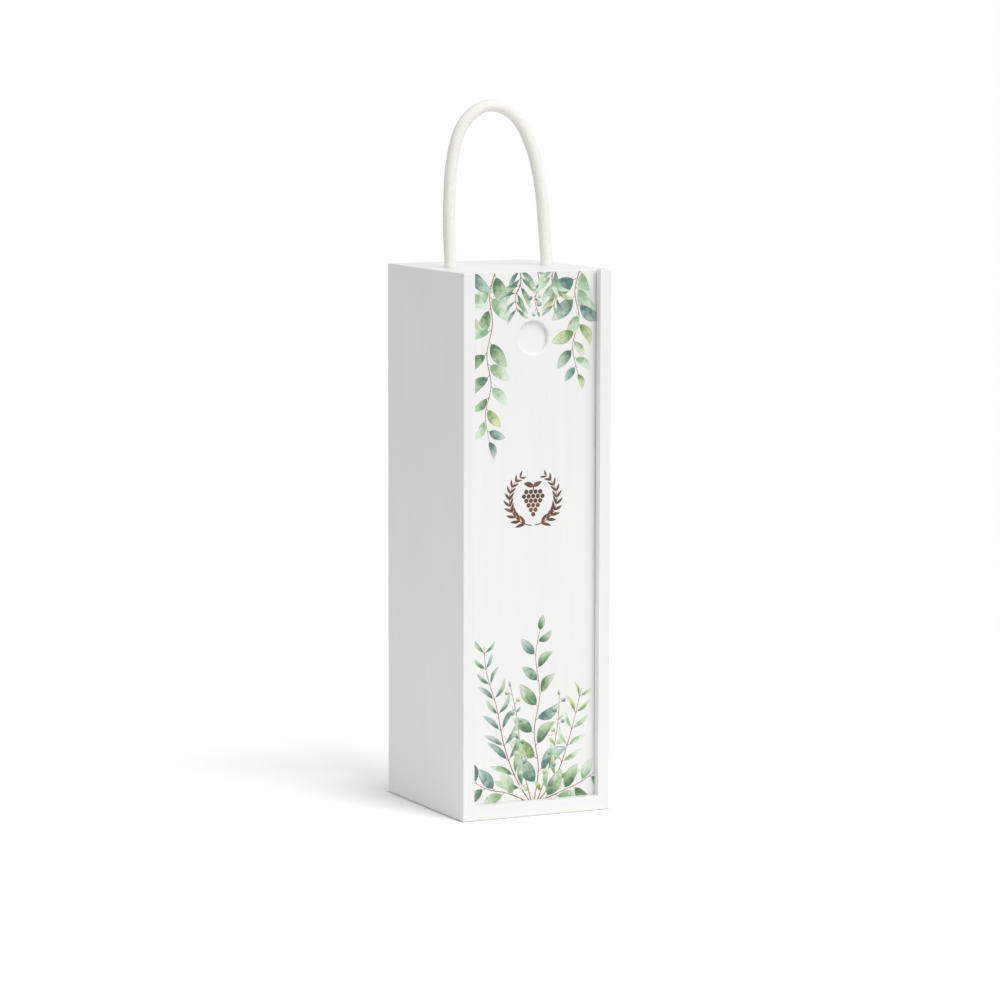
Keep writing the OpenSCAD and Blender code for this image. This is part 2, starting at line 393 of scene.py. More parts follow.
@dataclass(frozen=True)
class BraidedCotton:
    """Bleached cotton yarn, braided tight: matt and off-white, with shade painted into its grooves."""

    name: str = "bleached_cotton_braid"
    crest: str = "#FBFBF8"
    crest_height: float = 0.75      # of the braid's relief, from where on a yarn shows its crest's colour without painted shade
    # painted shade: the colour of the braid's grooves, where the relief is low
    painted_groove_shade: str = "#F0EEE4"
    aged: str = "#F2F1E9"           # where hands have held it
    aged_share: float = 0.25
    stain_mm: float = 14.0
    stain_span: Point2 = (0.5, 0.8)
    fibre_mm: float = 0.35          # loose tufts; single fibres are too fine to show
    fibre_share: float = 0.5        # how much they lighten and darken the yarn, from end to end
    fibre_height_mm: float = 0.05
    roughness: float = 0.9
    sheen: float = 0.08             # the light that loose fibres catch at a glancing angle

    def make(self) -> bpy.types.Material:
        """Builds the material, which reads how high each point stands from the "crest" attribute and paints
        shade into the low points.

        Returns:
            The material.
        """
        material, tree = blank_material(self.name)
        node = partial(add, tree)
        place = node("TexCoord").outputs["Object"]
        height = node("Attribute", attribute_name="crest").outputs["Fac"]
        fibre = node("TexNoise", {"Vector": place, "Scale": scale(self.fibre_mm), "Detail": 3.0})
        stain = node("TexNoise", {"Vector": place, "Scale": scale(self.stain_mm), "Detail": 2.0})
        # painted shade: the yarn darkens from crest to groove with the relief's height
        raised = node("MapRange", (height, 0.0, self.crest_height), **SMOOTH)
        tuft = node("Math", (fibre, self.fibre_share, -self.fibre_share / 2), operation="MULTIPLY_ADD")
        lit = node("Math", (raised, tuft), operation="ADD")
        yarn = node("Mix", {SHARE: lit, LOW: linear(self.painted_groove_shade), HIGH: linear(self.crest)}, **COLOURS)
        held = node("MapRange", (stain, *self.stain_span, 0.0, self.aged_share), **SMOOTH)
        colour = node("Mix", {SHARE: held, LOW: yarn, HIGH: linear(self.aged)}, **COLOURS)
        fuzz = node("Bump", {"Height": fibre, "Distance": self.fibre_height_mm * MM})
        values = {"Base Color": colour, "Normal": fuzz,
                  "Roughness": self.roughness, "Sheen Weight": self.sheen}
        node("OutputMaterial", {"Surface": node("BsdfPrincipled", values)})
        return material


@dataclass(frozen=True)
class DrawnSteel:
    """Bright drawn steel wire: a metal with fine scratches along the wire."""

    name: str = "drawn_steel_wire"
    colour: str = "#A9A9AC"
    scratch_mm: float = 0.2
    scratch_span: Point2 = (0.3, 0.7)
    roughness: Point2 = (0.28, 0.42)    # between scratches and in them

    def make(self) -> bpy.types.Material:
        """Builds the material.

        Returns:
            The material.
        """
        material, tree = blank_material(self.name)
        node = partial(add, tree)
        place = node("TexCoord").outputs["Object"]
        scratch = node("TexNoise", {"Vector": place, "Scale": scale(self.scratch_mm)})
        rough = node("MapRange", (scratch, *self.scratch_span, *self.roughness), **SMOOTH)
        values = {"Base Color": linear(self.colour), "Metallic": 1.0, "Roughness": rough}
        node("OutputMaterial", {"Surface": node("BsdfPrincipled", values)})
        return material


# ------------------------------------------------------------------------- studio


@dataclass
class Studio:
    """Camera, soft light and a white floor, at the photograph's angle."""

    eye_mm: Point3 = (-1161.1, -2395.1, 519.3)
    azimuth_deg: float = 25.89      # to the left of the lid's face
    pitch_deg: float = 6.87         # looking down
    roll_deg: float = 0.13
    lens_mm: float = 148.1
    sensor_mm: float = 36.0
    clip: Point2 = (0.05, 60.0)
    lamp_azimuth_deg: float = 19.0  # to the right of the lid's face
    lamp_height_deg: float = 48.0
    lamp_aim: Point3 = (0.0, 0.0, 0.2)      # the point that it lights, about the middle of the box
    lamp_distance: float = 5.0
    lamp_size: float = 4.0
    lamp_watts: float = 140.0
    room_level: float = 0.55        # grey of the room, as light
    floor_size: float = 16.0
    floor_drop_mm: float = 0.1      # how far it lies under the box, so that the two don't flicker
    floor_glow: float = 0.26        # how much the paper glows by itself outside the painted deep shadow
    paper_level: float = 0.96       # grey of the paper, as light
    room_floor: float = 0.6         # grey of the floor beyond the paper, as light
    floor_near: float = 0.5         # up to here from the box the paper shows shadows
    floor_far: float = 0.95         # from here on it is plain white
    wedge_share: float = 0.4        # how wide the painted deep shadow beside the box opens, for its length
    wedge_reach_mm: float = 90.0    # how far from the side it melts into the soft shadow
    wedge_end_mm: Point2 = (90.0, 190.0)    # how far behind the front it starts to fade, and ends
    wedge_start_mm: float = 0.01    # the least distance behind the front that it is worked out for
    contact_shade_mm: float = 2.8          # how far the painted shade line at the foot of the box reaches
    contact_shade_level: float = 0.62      # how much light is left in it

    def camera(self) -> None:
        """Places the camera and makes it the scene's own."""
        azimuth, pitch = math.radians(self.azimuth_deg), math.radians(self.pitch_deg)
        level = Vector((math.sin(azimuth), math.cos(azimuth), 0.0))
        ahead = level * math.cos(pitch) - Vector((0, 0, math.sin(pitch)))
        right = Vector((math.cos(azimuth), -math.sin(azimuth), 0.0))
        up = right.cross(ahead)
        turn = Matrix.Rotation(math.radians(self.roll_deg), 3, "Z")
        axes = Matrix((right, up, -ahead)).transposed() @ turn
        data = bpy.data.cameras.new("camera")
        data.lens, data.sensor_width = self.lens_mm, self.sensor_mm
        data.clip_start, data.clip_end = self.clip
        camera = bpy.data.objects.new("camera", data)
        camera.matrix_world = Matrix.Translation(Vector(self.eye_mm) * MM) @ axes.to_4x4()
        bpy.context.scene.collection.objects.link(camera)
        bpy.context.scene.camera = camera

    def light(self) -> None:
        """Hangs one large soft box in front, to the right and above."""
        azimuth, height = math.radians(self.lamp_azimuth_deg), math.radians(self.lamp_height_deg)
        towards = Vector((math.sin(azimuth) * math.cos(height), -math.cos(azimuth) * math.cos(height),
                          math.sin(height)))
        data = bpy.data.lights.new("soft_box", "AREA")
        data.shape, data.size, data.energy = "DISK", self.lamp_size, self.lamp_watts
        lamp = bpy.data.objects.new("soft_box", data)
        lamp.location = Vector(self.lamp_aim) + towards * self.lamp_distance
        lamp.rotation_mode = "QUATERNION"
        lamp.rotation_quaternion = (-towards).to_track_quat("-Z", "Y")
        bpy.context.scene.collection.objects.link(lamp)

    def shown(self, tree: bpy.types.NodeTree) -> bpy.types.Node:
        """Works out where the background is looked at: straight, in a reflection or through glass.

        Args:
            tree: the background's node tree.

        Returns:
            The node that gives 1 there and 0 where it only lights the object.
        """
        ray = add(tree, "LightPath").outputs
        straight = add(tree, "Math", (ray["Is Camera Ray"], ray["Is Glossy Ray"]), operation="MAXIMUM")
        return add(tree, "Math", (straight, ray["Is Transmission Ray"]), operation="MAXIMUM")

    def room(self) -> None:
        """Makes the room white to the eye and to reflections, and grey as light."""
        world = bpy.data.worlds.new("white_room")
        world.use_nodes = True
        tree = world.node_tree
        tree.nodes.clear()
        node = partial(add, tree)
        sky = node("Mix", {SHARE: self.shown(tree), LOW: grey(self.room_level), HIGH: WHITE}, **COLOURS)
        node("OutputWorld", {"Surface": node("Background", {"Color": sky, "Strength": 1.0})})
        bpy.context.scene.world = world

    def painted_wedge_shadow(self, tree: bpy.types.NodeTree) -> bpy.types.Node:
        """Works out a painted shadow: how deep the paper lies in the wedge of shadow along the box's left
        side.

        Args:
            tree: the paper's node tree.

        Returns:
            The node that gives the depth, from 0 in the open to 1 at the foot of the side.
        """
        node = partial(add, tree)
        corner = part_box("side_left")[0]
        place = node("SeparateXYZ", (node("TexCoord").outputs["Object"],)).outputs
        aside = node("Math", (place["X"], corner.x), operation="SUBTRACT")
        aside = node("Math", (aside,), operation="ABSOLUTE")
        behind = node("Math", (place["Y"], corner.y), operation="SUBTRACT")
        behind = node("Math", (behind, self.wedge_start_mm * MM), operation="MAXIMUM")
        opening = node("Math", (aside, behind), operation="DIVIDE")
        opening = node("Math", (opening, -self.wedge_share), operation="DIVIDE")
        depth = node("Math", (opening,), operation="EXPONENT")
        start, end = (length * MM for length in self.wedge_end_mm)
        for span in ((aside, 0.0, self.wedge_reach_mm * MM, 1.0, 0.0), (behind, start, end, 1.0, 0.0)):
            fade = node("MapRange", span, **SMOOTH)
            depth = node("Math", (depth, fade), operation="MULTIPLY")
        return depth

    def painted_contact_shade(self, tree: bpy.types.NodeTree) -> bpy.types.Node:
        """Works out the painted shade line where the box's rounded foot meets the paper.

        Args:
            tree: the paper's node tree.

        Returns:
            The node that gives the light that is left, from contact_shade_level at the foot to 1.
        """
        node = partial(add, tree)
        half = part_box("side_right")[1]
        away = node("VectorMath", (node("TexCoord").outputs["Object"],), operation="ABSOLUTE")
        away = node("VectorMath", (away, (half.x, half.y, 0.0)), operation="SUBTRACT")
        away = node("VectorMath", (away, (0.0, 0.0, 0.0)), operation="MAXIMUM")
        gap = node("VectorMath", (away,), operation="LENGTH")
        return node("MapRange", (gap, 0.0, self.contact_shade_mm * MM, self.contact_shade_level, 1.0), **SMOOTH)

    def paper(self) -> bpy.types.Material:
        """Builds the seamless paper: white to the eye apart from its shadows, rendered and painted, and a
        pale grey as light.

        Returns:
            The material.
        """
        material, tree = blank_material("white_seamless_paper")
        node = partial(add, tree)
        away = node("VectorMath", (node("TexCoord").outputs["Object"],), operation="LENGTH")
        far = node("MapRange", (away, self.floor_near, self.floor_far), **SMOOTH)
        # two painted shadows on the paper: a wedge along the box's left side and a line at its foot
        depth, painted_contact_shade = self.painted_wedge_shadow(tree), self.painted_contact_shade(tree)
        tone = node("Mix", {SHARE: far, LOW: grey(self.paper_level), HIGH: grey(self.room_floor)}, **COLOURS)
        bounce = node("BsdfDiffuse", {"Color": tone})
        lift = node("Math", (1.0, depth), operation="SUBTRACT")
        lift = node("Math", (lift, self.floor_glow), operation="MULTIPLY")
        lift = node("Math", (lift, painted_contact_shade), operation="MULTIPLY")
        # the paper's colour is the painted contact shade, and its glow is dimmed by both painted shadows
        near = node("AddShader", (node("BsdfDiffuse", {"Color": painted_contact_shade}),
                                  node("Emission", {"Color": WHITE, "Strength": lift})))
        plain = node("Emission", {"Color": WHITE, "Strength": 1.0})
        looked_at = node("MixShader", (far, near, plain))
        node("OutputMaterial", {"Surface": node("MixShader", (self.shown(tree), bounce, looked_at))})
        return material

    def floor(self) -> None:
        """Lays a white floor that shows soft shadows and otherwise merges with the background."""
        deselect_all()
        bpy.ops.mesh.primitive_plane_add(size=self.floor_size, location=(0, 0, -self.floor_drop_mm * MM))
        floor = bpy.context.active_object
        floor.name = "floor"
        floor.data.materials.append(self.paper())

    def build(self) -> None:
        """Sets up the whole studio."""
        self.camera()
        self.light()
        self.room()
        self.floor()
        bpy.context.scene.view_settings.view_transform = "Standard"


# -------------------------------------------------------------------------- boards


@dataclass
class Carcass:
    """The glued and pinned boards and the lid, which keep their solids and get their finishes."""

    upright: tuple[str, ...] = ("side_left", "side_right", "back_board", "sliding_lid")
    level: tuple[str, ...] = ("top_board", "bottom_board")
    brads: tuple[str, ...] = ("brads_top", "brads_bottom", "brads_back")

    def dress(self) -> None:
        """Paints the boards, with the grain along each, and gives the brads their steel."""
        upright = SatinEnamel("white_satin_enamel_upright_grain", Grain.UP).make()
        level = SatinEnamel("white_satin_enamel_level_grain", Grain.ACROSS).make()
        steel = DrawnSteel().make()
        for names, finish in ((self.upright, upright), (self.level, level), (self.brads, steel)):
            for name in names:
                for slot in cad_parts[name].material_slots:
                    slot.material = finish
                LOG.info("%s has %s", name, finish.name)


# ---------------------------------------------------------------------------- rope


@dataclass
class Rope:
    """The braided cotton rope: its arch over the box and the two overhand knots under the top board."""

    diameter_mm: float = 8.0
    yarns: int = 12                 # in each direction round the rope
    lay_mm: float = 2.6             # how far along a yarn moves by one yarn's width
    relief_mm: float = 0.15         # from the grooves to the crests
    dive: float = 0.45              # how far a yarn rises over others and dives under them, for its height
    uneven: float = 0.5             # how much lower a yarn may lie at one crossing than at another
    pulls: int = 97                 # rows of crossings along the rope before the unevenness repeats
    pull_seed: int = 5
    sides: int = 72
    ring_mm: float = 0.42
    route_steps: int = 12           # points of the smooth route for each one given
    end_mm: float = 1.2             # over how much of its length an end is drawn in
    end_draw: float = 0.45          # and by what share of its radius
    end_crest: float = 0.2          # how high the yarns stand in the middle of an end, which sets its painted groove shade
    hole_mm: float = 34.5           # from the middle to each rope hole
    neck_mm: float = 6.5            # the rope's arch starts this far down in its holes
    bend_mm: Point2 = (0.5, 16.0)   # above the box's top, where the rope starts to swing and swings fully
    knot_drop_mm: float = 25.4      # from the top of the box to the middle of a knot
    # The arch from the left hole to the right one: across, and up from the box's top.
    arch_mm: tuple[Point2, ...] = (
        (-34.5, 5), (-35, 14), (-35.5, 25), (-35.5, 37), (-35, 49), (-34.5, 60),
        (-33, 70), (-31, 79), (-28, 87.5), (-23.5, 94.5), (-18, 99.5), (-11, 103),
        (-3, 103.5), (5, 101), (12, 96), (17.5, 89), (22, 80), (25.5, 71),
        (28, 61), (30, 51), (31.5, 40), (32.5, 28), (33.5, 16), (34.5, 5),
    )
    # Half of an overhand knot, from its middle to its lower end.
    knot_mm: tuple[Point3, ...] = (
        (0, -10, 0), (-3, -9.5, 4.5), (-5, -7.5, 9), (-5, -3, 12), (-2.5, 2, 13),
        (0.5, 6, 11), (3.5, 7.5, 6.5), (4.5, 6.5, 1), (3.5, 2.5, -3), (0.5, -0.5, -5),
        (-2.5, -2.5, -7.5), (-4, -4.5, -11.5), (-4.5, -6.5, -14.5), (-4.5, -7, -17), (-4.5, -7, -25),
    )
    top: float = field(init=False)

    def __post_init__(self) -> None:
        """Reads the height of the box from the frame."""
        self.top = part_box("side_left")[1].z

    def arch_route(self) -> np.ndarray:
        """Works out the arch's route, with its necks down into the two holes.

        Returns:
            The points of the route, in metres.
        """
        neck = [(-self.hole_mm, -self.neck_mm), (-self.hole_mm, 0.0)]
        flat = np.array([*neck, *self.arch_mm, *[(-x, z) for x, z in reversed(neck)]])
        places = np.stack([flat[:, 0] * MM, np.zeros(len(flat)), self.top + flat[:, 1] * MM], axis=1)
        return evenly(smooth_route(places, self.route_steps), self.ring_mm * MM)

    def knot_route(self) -> np.ndarray:
        """Works out the right knot's route, from inside its hole to its cut end.

        Returns:
            The points of the route, in metres.
        """
        low = np.array(self.knot_mm)
        high = low[::-1] * np.array([-1, 1, -1])
        high[0, 2] = self.knot_drop_mm - self.neck_mm
        whole = np.concatenate([high[:-1], low])
        start = np.array([self.hole_mm, 0.0, 0.0]) - high[0] * np.array([1, 1, 0])
        whole = (whole + start - np.array([0, 0, self.knot_drop_mm])) * MM
        whole[:, 2] += self.top
        return evenly(smooth_route(whole, self.route_steps), self.ring_mm * MM)

    def relief(self, turn: np.ndarray, along: np.ndarray) -> np.ndarray:
        """Works out how high the braid stands at each point of the rope.

        Args:
            turn: how far round the rope, from 0 to 1.
            along: how far along the rope, in metres.

        Returns:
            The height, from 0 in a groove to 1 on a crest.
        """
        lay = along / (self.lay_mm * MM)
        left, right = self.yarns * turn + lay, self.yarns * turn - lay
        left_yarn, right_yarn = np.round(left), np.round(right)
        over = np.cos(np.pi * (right + left_yarn))
        under = -np.cos(np.pi * (left + right_yarn))
        left_height = np.cos(np.pi * (left - left_yarn)) * (1 - self.dive + self.dive * over)
        right_height = np.cos(np.pi * (right - right_yarn)) * (1 - self.dive + self.dive * under)
        crossings = (self.pulls, 2 * self.yarns)
        pull = np.random.default_rng(self.pull_seed).uniform(1 - self.uneven, 1.0, crossings)
        steps, places = (left_yarn - right_yarn).astype(int), (left_yarn + right_yarn).astype(int)
        crest = np.maximum(left_height, right_height) * pull[steps % crossings[0], places % crossings[1]]
        return np.clip(crest, 0.0, 1.0)

    def rings(self, route: np.ndarray, normal: Vector, crest: np.ndarray) -> np.ndarray:
        """Places the rope's rings of points along a route, without twist.

        Args:
            route: the points of its centreline.
            normal: where the first ring starts, square to the route.
            crest: how high the braid stands at each point, a row for each ring.

        Returns:
            The points, by ring and by place in the ring.
        """
        ahead = np.gradient(route, axis=0)
        ahead /= np.linalg.norm(ahead, axis=1)[:, None]
        sides = np.zeros_like(route)
        side = np.array(normal, float)
        for i, way in enumerate(ahead):
            side = side - (side @ way) * way
            side /= np.linalg.norm(side)
            sides[i] = side
        other = np.cross(ahead, sides)
        along = distances(route)
        from_end = np.minimum(along, along[-1] - along)
        shrink = 1 - self.end_draw * np.clip(1 - from_end / (self.end_mm * MM), 0, 1) ** 2
        reach = self.diameter_mm * MM / 2 * shrink[:, None] - self.relief_mm * MM * (1 - crest)
        angle = 2 * np.pi * (np.arange(self.sides) / self.sides)[None, :, None]
        spoke = np.cos(angle) * sides[:, None] + np.sin(angle) * other[:, None]
        return route[:, None] + reach[:, :, None] * spoke

    def tube(self, name: str, route: np.ndarray, normal: Vector) -> bpy.types.Object:
        """Sweeps the braid along a route, with both ends rounded off and closed.

        Args:
            name: the piece's name.
            route: the points of its centreline, evenly spaced.
            normal: where the first ring starts, square to the route.

        Returns:
            The new mesh object.
        """
        turn = np.arange(self.sides) / self.sides
        crest = self.relief(turn[None, :], distances(route)[:, None])
        rings = self.rings(route, normal, crest)
        points = [*rings.reshape(-1, 3).tolist(), route[0].tolist(), route[-1].tolist()]
        faces = []
        for i in range(len(route) - 1):
            for k in range(self.sides):
                a, b = i * self.sides + k, i * self.sides + (k + 1) % self.sides
                faces.append((a, b, b + self.sides, a + self.sides))
        first, base = len(route) * self.sides, (len(route) - 1) * self.sides
        for k in range(self.sides):
            after = (k + 1) % self.sides
            faces.append((first, after, k))
            faces.append((first + 1, base + k, base + after))
        mesh = bpy.data.meshes.new(name)
        mesh.from_pydata(points, [], faces)
        heights = mesh.attributes.new("crest", "FLOAT", "POINT")
        heights.data.foreach_set("value", np.append(crest.ravel(), [self.end_crest] * 2).astype(np.float32))
        mesh.update()
        made = bpy.data.objects.new(name, mesh)
        bpy.context.scene.collection.objects.link(made)
        pick(made)
        bpy.ops.object.shade_smooth()
        return made

    def build(self) -> None:
        """Makes the arch and the two knots, fixes the knots to the box and hides the model's own rope."""
        cotton = BraidedCotton().make()
        arch_route, knot_route = self.arch_route(), self.knot_route()
        arch = self.tube("rope_arch", arch_route, Vector((0, 1, 0)))
        half_turn = np.array([-1, -1, 1])
        right = self.tube("knot_right", knot_route, Vector((1, 0, 0)))
        left = self.tube("knot_left", knot_route * half_turn, Vector((-1, 0, 0)))
        for piece in (arch, right, left):
            piece.data.materials.append(cotton)
        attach(right, "box")
        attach(left, "box")
        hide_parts("rope_knot_right")
        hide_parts("rope_knot_left")
        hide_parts("rope_handle")
        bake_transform(arch)
        length, knot_length = (float(distances(route)[-1]) for route in (arch_route, knot_route))
        LOG.info("rope arch %.3f m, each knot %.3f m", length, knot_length)


# --------------------------------------------------------------------------- print


class Cut(Enum):
    """The outlines that printed leaves are cut to: half width, swell, tip and bend, for a length of 1."""

    BAY = (0.23, 0.82, 0.85, 0.03)
    BAY_CURLED = (0.2, 0.78, 0.9, 0.12)
    OLIVE = (0.115, 0.85, 0.8, -0.05)
    OLIVE_CURLED = (0.105, 0.9, 0.85, 0.1)
    LEAFLET = (0.2, 0.9, 0.6, 0.04)
    LAUREL = (0.15, 0.85, 0.8, 0.03)


class Side(Enum):
    """How leaves sit along a twig."""

    PAIRED = "paired"
    ALTERNATE = "alternate"


@dataclass(frozen=True)
class Twig:
    """One printed twig: its route on the lid's face, across and up from the base, and its leaves."""

    route_mm: tuple[Point2, ...]
    cuts: tuple[Cut, ...]
    leaves: int
    first_mm: float                 # length of the lowest leaf
    last_mm: float                  # length of the leaf at the tip
    tones: tuple[float, ...]        # where its leaves stand in the ink's row of colours
    side: Side = Side.ALTERNATE
    spread_deg: float = 46.0        # between a leaf and the twig
    bare: float = 0.1               # share of the twig without leaves, at its start
    stem_mm: float = 0.42           # half thickness at the start
    berries: int = 0
    berry_mm: float = 1.7           # radius


TWIGS = (
    # strands that hang from the lid's top edge
    Twig(((-26, 354), (-31, 336), (-29, 318), (-33, 298), (-30, 279), (-34, 260), (-31, 243)),
         (Cut.BAY, Cut.BAY_CURLED), 16, 23, 12, (0.0, 0.3, 0.05, 0.65, 1.0), bare=0.04),
    Twig(((34, 354), (29.5, 337), (32.5, 320), (28, 302), (32, 284)),
         (Cut.BAY_CURLED, Cut.BAY), 13, 23, 12, (0.65, 0.1, 0.35, 1.0), bare=0.04),
    Twig(((-10, 354), (-9, 344), (-13, 334), (-11, 325)),
         (Cut.OLIVE, Cut.OLIVE_CURLED), 12, 17, 10, (0.1, 0.35, 0.0), Side.PAIRED, 40, bare=0.05),
    Twig(((15, 354), (13, 345), (16, 336), (14, 327)),
         (Cut.OLIVE_CURLED, Cut.OLIVE), 12, 17, 10, (0.7, 0.35, 1.0), Side.PAIRED, 42, bare=0.05),
    Twig(((-44, 354), (-42, 340), (-45, 326), (-43, 312)),
         (Cut.BAY_CURLED, Cut.BAY), 7, 18, 10, (1.0, 0.65, 0.3), bare=0.05),
    # a spray that fans out from the middle of the lid's foot
    Twig(((1, 8), (4, 30), (1, 54), (5, 78), (2, 102), (5, 120)),
         (Cut.BAY, Cut.BAY_CURLED), 13, 24, 11, (0.0, 0.65, 0.1, 0.3, 1.0)),
    Twig(((-2, 8), (-13, 26), (-21, 48), (-26, 72), (-33, 94), (-35, 112)),
         (Cut.OLIVE, Cut.OLIVE_CURLED), 20, 20, 10, (0.3, 0.0, 0.4, 0.1), Side.PAIRED, 38),
    Twig(((4, 8), (17, 24), (25, 44), (31, 64), (35, 80)),
         (Cut.OLIVE_CURLED, Cut.OLIVE), 14, 19, 10, (0.65, 0.7, 0.9, 1.0), Side.PAIRED, 38),
    Twig(((-3, 8), (-18, 15), (-33, 19), (-46, 27)),
         (Cut.BAY_CURLED, Cut.BAY), 7, 21, 13, (0.95, 0.3, 0.05)),
    Twig(((5, 8), (20, 13), (34, 18), (47, 25)),
         (Cut.BAY, Cut.BAY_CURLED), 7, 21, 13, (0.05, 1.0, 0.9)),
    # berry twigs between them
    Twig(((-1, 8), (-8, 36), (-11, 62), (-16, 84)), (Cut.LEAFLET,), 5, 7, 4, (0.3, 1.0), berries=9),
    Twig(((3, 8), (13, 34), (18, 58), (19, 76)), (Cut.LEAFLET,), 5, 7, 4, (0.65, 1.0), berries=8),
    Twig(((2, 354), (4, 343), (1, 333), (3, 325)), (Cut.LEAFLET,), 4, 6, 4, (1.0, 0.3), berries=6),
)


@dataclass(frozen=True)
class Growth:
    """How leaves and berries grow on any twig, and by how much they stray from each other."""

    sway_deg: float = 11.0          # how far a leaf turns from its twig's usual spread
    leaf_sizes: Point2 = (0.88, 1.1)    # least and most of its usual length
    tone_drift: float = 0.06        # how far a leaf's place in the row of colours strays
    tip_share: float = 0.97         # from here along a twig, a leaf points straight on
    stalk_share: float = 0.12       # length of a leaf's stalk, for the leaf's length
    stalk_lap: float = 0.35         # how far the stalk runs on under its leaf, for the stalk's length
    stem_taper: float = 0.45        # thickness of a stem at its tip, for that at its start
    leaf_stalk: Point2 = (0.55, 0.4)    # thickness of a leaf's stalk at its two ends, for the stem's
    berry_stalk: Point2 = (0.45, 0.35)
    berry_run: Point2 = (0.2, 0.78)     # where along a twig berries start, and over what share they go on
    berry_deg: Point2 = (40.0, 65.0)    # between a berry's stalk and its twig
    berry_stalk_mm: Point2 = (2.6, 4.4)
    berry_sizes: Point2 = (0.75, 1.1)   # least and most of its usual radius
    berry_tones: tuple[float, ...] = (0.35, 0.2, 0.75, 1.0)


@dataclass(frozen=True)
class Crest:
    """The small crest: a bunch of grapes with two leaves, in an open laurel wreath."""

    middle_mm: float = 205.0        # height of its middle on the lid's face
    wreath_mm: float = 17.0         # radius of the wreath
    branch_deg: Point2 = (176.0, 38.0)  # where a branch starts and ends, from the top
    branch_points: int = 40
    branch_mm: Point2 = (0.4, 0.2)  # half its thickness at its start and end
    pairs: int = 10                 # of leaves on a branch
    pairs_deg: Point2 = (160.0, 34.0)   # where the first and last pairs sit
    spread: float = 0.62            # radians between a leaf and its branch
    leaf_mm: float = 7.2            # length of the first pair's leaves
    shorter_mm: float = 0.28        # from each pair to the next
    bunch: tuple[int, ...] = (4, 5, 4, 3, 2, 1)     # grapes in each row, from the top one
    bunch_top_mm: float = 4.6       # from the crest's middle up to that row
    grape_mm: float = 1.5           # radius
    grape_step_mm: Point2 = (3.3, 2.9)  # across from grape to grape, and down from row to row
    stalk_mm: tuple[Point2, ...] = ((0.0, 5.5), (0.3, 8.0), (1.4, 10.6))
    stalk_half_mm: Point2 = (0.5, 0.35)
    stalk_steps: int = 6
    vine_leaves: tuple[Point2, ...] = ((-1.25, 7.5), (1.1, 6.5))    # angle in radians, and length


@dataclass
class Stem:
    """The line that a twig's stem follows on the lid's face."""

    route_mm: tuple[Point2, ...]
    steps: int = 8                  # points of the smooth line for each one given
    spacing_mm: float = 1.5
    route: np.ndarray = field(init=False)

    def __post_init__(self) -> None:
        """Works out the smooth line, across and up, in metres."""
        smooth = smooth_route(np.array(self.route_mm, float), self.steps) * MM
        self.route = evenly(smooth, self.spacing_mm * MM)

    def at(self, share: float) -> tuple[np.ndarray, float]:
        """Finds a place on the stem.

        Args:
            share: how far along, from 0 at its start to 1 at its tip.

        Returns:
            The place, and the stem's heading there, in radians clockwise from upright.
        """
        stations = np.linspace(0.0, 1.0, len(self.route))
        spot = np.array([np.interp(share, stations, column) for column in self.route.T])
        way = [np.interp(share, stations, column) for column in np.gradient(self.route, axis=0).T]
        return spot, math.atan2(way[0], way[1])


